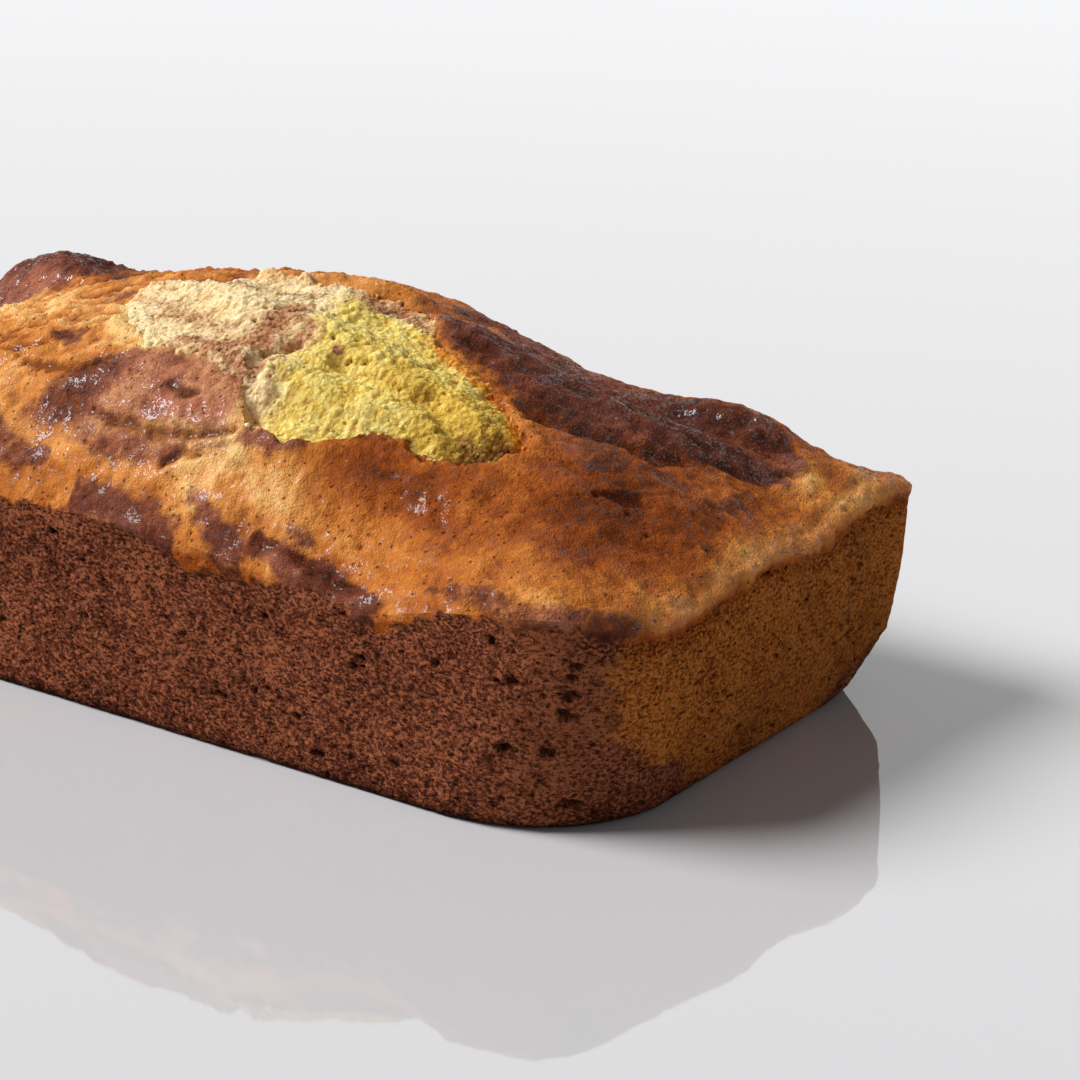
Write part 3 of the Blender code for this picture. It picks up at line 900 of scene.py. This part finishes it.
def dressed_net():
    """The loaf's net with its relief, and its marks at each point."""
    points, drop, away, loops = loaf_net()
    top_quads = grid_quads(CELLS_X + 1, CELLS_Y + 1)
    wall_quads = np.concatenate([ring_quads(a, b) for a, b in zip(loops, loops[1:])])
    normals = vertex_normals(points, np.concatenate([top_quads, wall_quads]))
    crumb = crumb_share(points, drop)
    standing = 1 - smooth(0.8, 0.1, points[:, 2])
    skin_cocoa = crust_cocoa(points) * smooth(9, 5, drop)
    skin_relief = crust_relief(points, skin_cocoa, crust_cracks(points, drop))
    # Painted shade: darker in the relief's hollows, paler on its tops.
    skin_bake_and_shading = crust_bake_and_highlight(points, away) - 0.16 * np.clip(skin_relief, -1, 1)
    skin_bake_and_shading = skin_bake_and_shading + 0.26 * smooth(0.6, 2.4, drop)
    relief = blend(crumb, skin_relief, side_relief(points) - SIDE_SINK) - RELIEF_SINK
    marks = {
        "cocoa": blend(crumb, skin_cocoa, side_cocoa(points)),
        # The baking, with painted shade in hollows and under the rim and a painted highlight on
        # the rim.
        "bake": blend(crumb, skin_bake_and_shading, side_bake_and_shade(points)),
        "crumb": crumb,
        # Painted shade: darker where the relief sinks into pits, cracks and holes.
        "pit": smooth(-0.55, -1.5, relief) * standing,
        "gloss": crust_gloss(points, drop) * (1 - crumb),
    }
    moved = points + normals * (relief * standing)[:, None]
    return settle(moved), top_quads, wall_quads, loops, marks


def cut_piece(name, net, chosen, quads, caps, ring, material):
    """Cuts one piece out of the loaf's net: its points, its quads and its closing fans. Each
    cap is a loop of points, its hub and whether it faces up."""
    points, marks = net
    renumber = np.full(len(points), -1)
    renumber[chosen] = np.arange(len(chosen))
    hubs = np.array([hub for _, hub, _ in caps], float)
    fans = [
        fan(renumber[loop], len(chosen) + index, up)
        for index, (loop, _, up) in enumerate(caps)
    ]
    whole = np.concatenate([points[chosen], hubs])
    filled = {
        label: np.append(values[chosen], np.zeros(len(hubs)))
        for label, values in marks.items()
    }
    add_piece(name, whole, [renumber[quads]] + fans, filled, material, renumber[ring])


def torn_net(step):
    """A grid over the burst, with its height and its distance outside the outline."""
    low_x, high_x, low_y, high_y = TORN_AREA
    columns, rows = int((high_x - low_x) / step), int((high_y - low_y) / step)
    x, y = np.meshgrid(np.linspace(low_x, high_x, columns), np.linspace(low_y, high_y, rows))
    x, y = x.ravel(), y.ravel()
    away = burst_distance(x, y)
    points = np.stack([x, y, torn_height(x, y, away)], axis=1)
    return points, away, columns, rows


def torn_marks(points, relief, away):
    """Batter, colour and toasting of the torn sponge, with painted shade in its clefts, pocket and
    hollows.
    """
    x, y = swirled(points, 2.6, 1.2, 190)
    bright = smooth(6, 14, x + 0.25 * (y + 16) + 3 * noise(points, 6, 196)) * smooth(6, 0, y)
    # Painted shade: darker where the relief is low, in the pocket at the right and along the right
    # cleft. It also darkens towards the right.
    tone = 0.38 - 0.08 * bright - 0.12 * relief + 0.12 * fractal(points, 6, 3, 194)
    tone = tone + 0.20 * smooth(40, 58, x) + 0.30 * mound(x, y, (60, -25), (9, 6), 30)
    tone = tone + 0.25 * mound(x, y, (44, -20), (14, 5), -5)
    rim = smooth(-5.5, -0.5, away + 1.2 * noise(points, 3, 197))
    back_right = smooth(20, 34, x) * smooth(-28, -18, y)
    return {
        "cocoa": brushed(x, y, TORN_SWIRLS),
        "bake": tone,
        # Painted shade in the hollows of the torn sponge.
        "pit": smooth(-0.2, -1.4, relief),
        "bright": bright,
        "toasted": rim * np.maximum(back_right, 0.5 * smooth(-24, -14, y)),
    }


def crumb_ball():
    """A coarse ball as unit directions, 5 rings of 7 points between two poles."""
    polar = np.linspace(0, np.pi, 7)[1:-1, None]
    turn = np.linspace(0, 2 * np.pi, 8)[None, :-1]
    ring = np.stack([np.sin(polar) * np.cos(turn), np.sin(polar) * np.sin(turn),
                     np.cos(polar) + 0 * turn], axis=-1).reshape(-1, 3)
    directions = np.concatenate([[[0, 0, 1]], ring, [[0, 0, -1]]])
    bands = [np.arange(1 + 7 * row, 8 + 7 * row) for row in range(5)]
    quads = np.concatenate([ring_quads(a, b) for a, b in zip(bands, bands[1:])])
    caps = np.concatenate([fan(bands[0], 0, True), fan(bands[-1], len(directions) - 1, False)])
    return directions, quads, caps


def crumb_places(count):
    """Places for loose crumbs, most along the burst's edge and the rest on the torn
    sponge, from fixed numbers. A place is kept where its number is below its share."""
    index = np.arange(count * 14)
    spread = [hashed(index, index * 7 + axis, index * 0 + axis, 300 + axis) for axis in range(4)]
    low_x, high_x, low_y, high_y = CRUMB_AREA
    x, y = low_x + (high_x - low_x) * spread[0], low_y + (high_y - low_y) * spread[1]
    away = burst_distance(x, y)
    wanted = 0.9 * bell(away + 1.5, 1.6) + 0.25 * (away < 0)
    chosen = np.flatnonzero(spread[2] < wanted)[:count]
    return x[chosen], y[chosen], away[chosen], spread[3][chosen]


# ---------------------------------------------------------------- finishes
class Wire:
    """A shader socket that takes part in sums: each operation adds one Math node."""

    def __init__(self, sheet, socket):
        self.sheet = sheet
        self.socket = socket

    def _math(self, operation, first, second):
        return self.sheet.add("ShaderNodeMath", {"operation": operation}, {0: first, 1: second})

    def __add__(self, other):
        return self._math("ADD", self, other)

    def __sub__(self, other):
        return self._math("SUBTRACT", self, other)

    def __rsub__(self, other):
        return self._math("SUBTRACT", other, self)

    def __mul__(self, other):
        return self._math("MULTIPLY", self, other)

    __radd__ = __add__
    __rmul__ = __mul__

    def or_more(self, other):
        """The larger of the two."""
        return self._math("MAXIMUM", self, other)


class Sheet:
    """The node sheet of a material or a world, with its main shader. Nodes are added by
    type, settings and sockets."""

    def __init__(self, owner, main="Principled BSDF"):
        owner.use_nodes = True
        self.owner = owner
        self.nodes = owner.node_tree.nodes
        self.links = owner.node_tree.links
        self.main = self.nodes[main]

    def feed(self, node, sockets):
        """Gives sockets of a node their values, or links where the value is a wire."""
        for key, value in sockets.items():
            if isinstance(value, Wire):
                self.links.new(value.socket, node.inputs[key])
            else:
                node.inputs[key].default_value = value

    def add(self, kind, settings=None, sockets=None, output=0):
        """Adds one node and gives one of its outputs."""
        node = self.nodes.new(kind)
        for name, value in (settings or {}).items():
            if name == "stops":
                self.set_stops(node.color_ramp, value)
            else:
                setattr(node, name, value)
        self.feed(node, sockets or {})
        return Wire(self, node.outputs[output])

    @staticmethod
    def set_stops(ramp, stops):
        """Gives a colour ramp its stops, each a place and a colour."""
        while len(ramp.elements) < len(stops):
            ramp.elements.new(1.0)
        for element, (place, colour) in zip(ramp.elements, stops):
            element.position = place
            element.color = colour

    def mark(self, name):
        """A number kept at each point of the mesh."""
        return self.add("ShaderNodeAttribute", {"attribute_name": name}, output="Fac")

    def vector(self, operation, first, second):
        """Vector Math on two vectors, or on a vector and a number by which it is scaled."""
        key = "Scale" if operation == "SCALE" else 1
        return self.add("ShaderNodeVectorMath", {"operation": operation}, {0: first, key: second})

    def place(self, stretch=(1, 1, 1)):
        """Object coordinates in millimetres, stretched along each axis."""
        where = self.add("ShaderNodeTexCoord", output="Object")
        return self.vector("MULTIPLY", where, tuple(amount / MM for amount in stretch))

    def pushed(self, place, size, reach):
        """The same coordinates, pushed about by noise of a size, as far as reach."""
        sockets = {"Vector": place, "Scale": 1 / size}
        push = self.add("ShaderNodeTexNoise", None, sockets, "Color")
        push = self.vector("SUBTRACT", push, (0.5, 0.5, 0.5))
        return self.vector("ADD", place, self.vector("SCALE", push, 2 * reach))

    def speckle(self, place, size, detail=2.0, rough=0.5):
        """Noise around 0.5 whose features are size millimetres wide."""
        sockets = {"Vector": place, "Scale": 1 / size, "Detail": detail, "Roughness": rough}
        return self.add("ShaderNodeTexNoise", None, sockets)

    def cell(self, place, size):
        """The distance to the nearest of scattered seeds size millimetres apart."""
        sockets = {"Vector": place, "Scale": 1 / size}
        return self.add("ShaderNodeTexVoronoi", None, sockets, "Distance")

    def between(self, value, low, high):
        """0 at low, 1 at high and a smooth S between; low may be the larger."""
        if low > high:
            return 1 - self.between(value, high, low)
        sockets = {"Value": value, "From Min": low, "From Max": high}
        return self.add("ShaderNodeMapRange", {"interpolation_type": "SMOOTHSTEP"}, sockets)

    def ramp(self, value, stops):
        """The colour that a value has on a ramp of stops."""
        return self.add("ShaderNodeValToRGB", {"stops": stops}, {0: value}, "Color")

    def tones(self, value, places, looks, batter):
        """A ramp through a batter's pale, middle and dark colours."""
        colours = [getattr(looks, f"{batter}_{tone}") for tone in ("pale", "mid", "dark")]
        return self.ramp(value, list(zip(places, colours)))

    def mix(self, part, first, second):
        """The first colour where part is 0, the second where it is 1."""
        sockets = {0: part, 6: first, 7: second}
        return self.add("ShaderNodeMix", {"data_type": "RGBA"}, sockets, 2)

    def finish(self, colour, rough, height):
        """Sets a matt finish, with a bump from a height in millimetres."""
        sockets = {"Height": height, "Distance": MM}
        normal = self.add("ShaderNodeBump", None, sockets, "Normal")
        self.feed(self.main, {
            "Base Color": colour, "Roughness": rough, "Normal": normal,
            "Specular IOR Level": 0.02,
        })
        return self.owner


def skin_layer(sheet, bake, frayed, pit, speckles):
    """The browned skin: its colour, with painted shade in its pits and pinholes, and its height.
    """
    crust = bpy.context.scene.loaf_crust
    fine, micro, broad = speckles
    shade = bake + (broad - 0.5) * 0.5 + (fine - 0.5) * 0.5 + (micro - 0.5) * 0.25
    vanilla = sheet.ramp(shade, (
        (0.0, crust.palest), (0.22, crust.pale), (0.45, crust.golden), (0.68, crust.brown),
        (1.0, crust.dark),
    ))
    chocolate = sheet.tones(shade, (0.0, 0.42, 0.85), crust, "cocoa")
    # Painted shade in the pinholes, which are also sunk, and in the relief's pits.
    shaded_pinhole = sheet.between(sheet.cell(sheet.place(), 2.1) + (micro - 0.5) * 0.3, 0.20, 0.06)
    shadowed = (pit * 0.75).or_more(shaded_pinhole * 0.6)
    colour = sheet.mix(shadowed, sheet.mix(frayed, vanilla, chocolate), crust.dark)
    return colour, (fine - 0.5) * 0.7 + (micro - 0.5) * 0.45 - shaded_pinhole * 0.4


def crumb_layer(sheet, bake, frayed, pit, speckles):
    """The tin's crumb: grains from pale to dark, with painted shade where their bump sinks and in
    its slit-like pores and pits, and its height.
    """
    side = bpy.context.scene.loaf_sides
    fine, micro, broad = speckles
    grain_place = sheet.pushed(sheet.place((0.85, 0.85, 1.15)), 1.4, 0.5)
    grain = sheet.speckle(grain_place, side.grain_size / MM, 5.0, 0.68)
    # Darker where the grain's bump sinks: partly the crumb's own colour, partly painted shade.
    shade = bake + (grain - 0.5) * 3.2 + (broad - 0.5) * 0.35 + (micro - 0.5) * 0.8
    vanilla, chocolate = (
        sheet.tones(shade, (0.1, 0.48, 0.95), side, batter) for batter in ("vanilla", "cocoa")
    )
    slits = sheet.pushed(sheet.place((0.7, 0.7, 1.5)), 1.2, 0.5)
    # Painted shade in the pores, which are also sunk.
    shaded_pore = sheet.between(sheet.cell(slits, 1.5) + (fine - 0.5) * 0.7, 0.32, 0.12)
    colour = sheet.mix(shaded_pore * 0.75, sheet.mix(frayed, vanilla, chocolate), side.shaded_pore)
    return sheet.mix(pit * 0.7, colour, side.shaded_pore), (0.5 - grain) * 2.2 - shaded_pore * 0.8


def sponge_finish():
    """Crust and tin's crumb in one finish: vanilla or chocolate, pale to dark, by marks that
    carry the baking and painted shade. The skin is glazed in small wet glints."""
    sheet = Sheet(bpy.data.materials.new("baked_sponge"))
    marks = ("cocoa", "bake", "crumb", "pit", "gloss")
    cocoa, bake, crumb, pit, gloss = (sheet.mark(name) for name in marks)
    place = sheet.place()
    fine = sheet.speckle(place, 1.3, 4.0, 0.6)
    micro = sheet.speckle(place, 0.45, 2.0, 0.6)
    broad = sheet.speckle(place, 9.0, 4.0, 0.6)
    speckles = (fine, micro, broad)
    frayed = sheet.between(cocoa + (fine - 0.5) * 0.7 + (broad - 0.5) * 0.9, 0.10, 0.95)
    skin, skin_height = skin_layer(sheet, bake, frayed, pit, speckles)
    sponge, sponge_height = crumb_layer(sheet, bake, frayed, pit, speckles)
    glint = sheet.between(micro + (fine - 0.5) * 0.9 + (broad - 0.5) * 0.6, 0.57, 0.68)
    sheet.feed(sheet.main, {
        "Coat Weight": gloss * (0.03 + glint * 0.97), "Coat Roughness": 0.20, "Coat IOR": 1.7,
    })
    rough = blend(crumb, 0.55 - frayed * 0.1 + (fine - 0.5) * 0.5, 0.95)
    height = blend(crumb, skin_height, sponge_height)
    return sheet.finish(sheet.mix(crumb, skin, sponge), rough, height)


def torn_finish():
    """Torn sponge: yellow at the right, cream at the left, with brown swirls and painted shade
    between its grains and in its hollows. Light passes a little way into it."""
    torn = bpy.context.scene.loaf_torn
    sheet = Sheet(bpy.data.materials.new("torn_sponge"))
    marks = ("cocoa", "bake", "pit", "bright", "toasted")
    cocoa, bake, pit, bright, toasted = (sheet.mark(name) for name in marks)
    place = sheet.place()
    stirred = sheet.pushed(place, 1.5, 0.8)
    grain, coarse = sheet.cell(stirred, 0.95), sheet.cell(stirred, 2.3)
    fine = sheet.speckle(place, 1.2, 4.0, 0.65)
    frayed = sheet.between(cocoa + (fine - 0.5) * 0.9, 0.15, 0.90)
    # Painted shade: darker between the grains, where the bump sinks, and in the hollows.
    tone = bake + (fine - 0.5) * 0.8 + (grain - 0.45) * 0.4 + (coarse - 0.45) * 0.2 + pit * 0.5
    cream, yellow, brown = (
        sheet.tones(tone, (0.1, 0.5, 1.0), torn, batter) for batter in ("cream", "yellow", "brown")
    )
    colour = sheet.mix(frayed, sheet.mix(bright, cream, yellow), brown)
    scorched = sheet.between(toasted + (fine - 0.5) * 0.6, 0.2, 0.9)
    colour = sheet.mix(scorched * 0.85, colour, torn.toasted)
    sheet.feed(sheet.main, {
        "Subsurface Weight": torn.glow, "Subsurface Radius": (1.0, 0.8, 0.45),
        "Subsurface Scale": torn.glow_depth,
    })
    return sheet.finish(colour, 0.85, (fine - 0.5) * 0.6 - grain * 0.45 - coarse * 0.3)


# ---------------------------------------------------------------- operators
class LOAF_OT_crust_and_sides(bpy.types.Operator):
    """Adds the browned crust and the sides with the tin's crumb"""

    bl_idname = "loaf.crust_and_sides"
    bl_label = "Crust and sides"

    def execute(self, context):
        points, top_quads, wall_quads, loops, marks = dressed_net()
        net, rim, foot = (points, marks), loops[0], loops[-1]
        material = sponge_finish()
        top = np.arange((CELLS_X + 1) * (CELLS_Y + 1))
        below = np.concatenate([rim, np.arange(len(top), len(points))])
        lid = [(rim, NET_HUB, False)]
        cut_piece("baked_crust", net, top, top_quads, lid, rim, material)
        caps = [(rim, NET_HUB, True), (foot, (0, 0, 0), False)]
        cut_piece("crumb_sides", net, below, wall_quads, caps, rim, material)
        return {"FINISHED"}


class LOAF_OT_torn_crumb(bpy.types.Operator):
    """Adds the torn sponge that fills the burst, sunk under the crust all round"""

    bl_idname = "loaf.torn_crumb"
    bl_label = "Torn crumb"

    def execute(self, context):
        points, away, columns, rows = torn_net(context.scene.loaf_torn.step / MM)
        quads = grid_quads(columns, rows)
        normals = vertex_normals(points, quads)
        relief = crumb_relief(points)
        points = points + normals * (relief * smooth(4.0, 0.5, away))[:, None]
        marks = torn_marks(points, relief, away)
        border = border_of(columns, rows)
        whole = np.concatenate([settle(points), [TORN_HUB]])
        filled = {label: np.append(values, 0) for label, values in marks.items()}
        faces = [quads, fan(border, len(points), False)]
        add_piece("torn_crumb", whole, faces, filled, torn_finish(), border)
        return {"FINISHED"}


class LOAF_OT_loose_crumbs(bpy.types.Operator):
    """Adds the loose crumbs, each a small uneven ball half sunk into what it lies on"""

    bl_idname = "loaf.loose_crumbs"
    bl_label = "Loose crumbs"

    def execute(self, context):
        loose = context.scene.loaf_loose
        x, y, away, number = crumb_places(loose.count)
        directions, quads, caps = crumb_ball()
        z = np.maximum(crust_height(x, y, away), torn_height(x, y, away)) - LOOSE_SINK
        radius = loose.size / MM * (0.55 + 1.1 * number ** 2)
        ball = np.tile(directions, (len(x), 1))
        centre = np.repeat(np.stack([x, y, z], axis=1), len(directions), axis=0)
        uneven = 1 + 0.55 * noise(ball * 1.1 + centre, 1, 310)
        points = centre + ball * (np.repeat(radius, len(directions)) * uneven)[:, None]
        shift = len(directions) * np.arange(len(x))[:, None, None]
        faces = [(quads + shift).reshape(-1, 4), (caps + shift).reshape(-1, 3)]
        relief = np.full(len(points), 0.4)
        marks = torn_marks(centre, relief, np.repeat(away, len(directions)))
        add_piece("loose_crumbs", settle(points), faces, marks, torn_finish())
        return {"FINISHED"}


def add_camera(stage):
    """A long lens at the loaf's front right, a little above, leaning slightly."""
    across = np.cos(stage.elevation)
    back = Vector((np.sin(stage.azimuth) * across, -np.cos(stage.azimuth) * across,
                   np.sin(stage.elevation)))
    data = bpy.data.cameras.new("camera")
    data.lens = stage.lens
    camera = bpy.data.objects.new("camera", data)
    camera.location = Vector(stage.target) + back * stage.distance
    camera.rotation_mode = "QUATERNION"
    camera.rotation_quaternion = back.to_track_quat("Z", "Y") @ Quaternion((0, 0, 1), stage.roll)
    bpy.context.scene.collection.objects.link(camera)
    bpy.context.scene.camera = camera


def add_light(name, power, width, direction, shines):
    """A soft light from far away, which polished surfaces mirror only if it shines."""
    data = bpy.data.lights.new(name, "SUN")
    data.energy = power
    data.angle = width
    lamp = bpy.data.objects.new(name, data)
    lamp.rotation_mode = "QUATERNION"
    lamp.rotation_quaternion = Vector(direction).to_track_quat("Z", "Y")
    lamp.location = direction
    lamp.visible_glossy = shines
    bpy.context.scene.collection.objects.link(lamp)


def add_floor(stage):
    """A wide polished floor just under the loaf."""
    mesh = bpy.data.meshes.new("floor")
    corners = [(x, y, -FLOOR_GAP) for x, y in ((-4, -4), (4, -4), (4, 4), (-4, 4))]
    mesh.from_pydata(corners, [], [(0, 1, 2, 3)])
    sheet = Sheet(bpy.data.materials.new("pale_floor"))
    sheet.feed(sheet.main, {"Base Color": stage.floor, "Roughness": stage.floor_roughness})
    mesh.materials.append(sheet.owner)
    floor = bpy.data.objects.new("floor", mesh)
    bpy.context.scene.collection.objects.link(floor)


def add_surroundings(stage):
    """Pale surroundings, which the polished floor mirrors at full strength. Only a share
    of their light fills the shadows."""
    sheet = Sheet(bpy.data.worlds.new("soft_white"), "Background")
    strength = sheet.add("ShaderNodeMapRange", None, {
        "Value": sheet.add("ShaderNodeLightPath", output="Is Diffuse Ray"),
        "To Min": stage.sky_strength, "To Max": stage.sky_strength * stage.fill,
    })
    sheet.feed(sheet.main, {"Color": stage.sky, "Strength": strength})
    bpy.context.scene.world = sheet.owner


class LOAF_OT_stage(bpy.types.Operator):
    """Adds the camera, the polished floor, the pale surroundings and the soft lights"""

    bl_idname = "loaf.stage"
    bl_label = "Stage"

    def execute(self, context):
        stage = context.scene.loaf_stage
        add_camera(stage)
        add_floor(stage)
        add_surroundings(stage)
        add_light("window", stage.window, stage.window_width, stage.window_from, True)
        add_light("card", stage.card, stage.card_width, stage.card_from, False)
        context.scene.view_settings.view_transform = "Standard"
        return {"FINISHED"}


class LOAF_PT_loaf(bpy.types.Panel):
    """Lists the loaf's pieces and what may be changed about them"""

    bl_idname = "LOAF_PT_loaf"
    bl_label = "Marble loaf cake"
    bl_space_type = "VIEW_3D"
    bl_region_type = "UI"
    bl_category = "Loaf cake"

    def draw(self, context):
        for operator, names in STEPS.items():
            box = self.layout.box()
            box.operator(operator.bl_idname)
            for name in names:
                looks = getattr(context.scene, name)
                for label in type(looks).__annotations__:
                    box.prop(looks, label)


# Each operator with the groups of values that the panel lists under it.
STEPS = {
    LOAF_OT_crust_and_sides: ("loaf_crust", "loaf_sides"),
    LOAF_OT_torn_crumb: ("loaf_torn",),
    LOAF_OT_loose_crumbs: ("loaf_loose",),
    LOAF_OT_stage: ("loaf_stage",),
}
# The groups of values, by their names on the scene.
GROUPS = {
    "loaf_crust": CrustLooks,
    "loaf_sides": SideLooks,
    "loaf_torn": TornLooks,
    "loaf_loose": LooseLooks,
    "loaf_stage": StageLooks,
}


def register():
    """Registers the groups of values, the operators and the panel."""
    for name, group in GROUPS.items():
        bpy.utils.register_class(group)
        setattr(bpy.types.Scene, name, PointerProperty(type=group))
    for kind in (*STEPS, LOAF_PT_loaf):
        bpy.utils.register_class(kind)


def unregister():
    """Takes the panel, the operators and the groups of values away again."""
    for kind in (LOAF_PT_loaf, *STEPS):
        bpy.utils.unregister_class(kind)
    for name, group in GROUPS.items():
        delattr(bpy.types.Scene, name)
        bpy.utils.unregister_class(group)


def main():
    """Registers the classes, and adds each piece and the stage."""
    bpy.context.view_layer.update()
    register()
    bpy.ops.loaf.crust_and_sides()
    bpy.ops.loaf.torn_crumb()
    bpy.ops.loaf.loose_crumbs()
    bpy.ops.loaf.stage()
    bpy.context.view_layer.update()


if __name__ == "__main__":
    main()
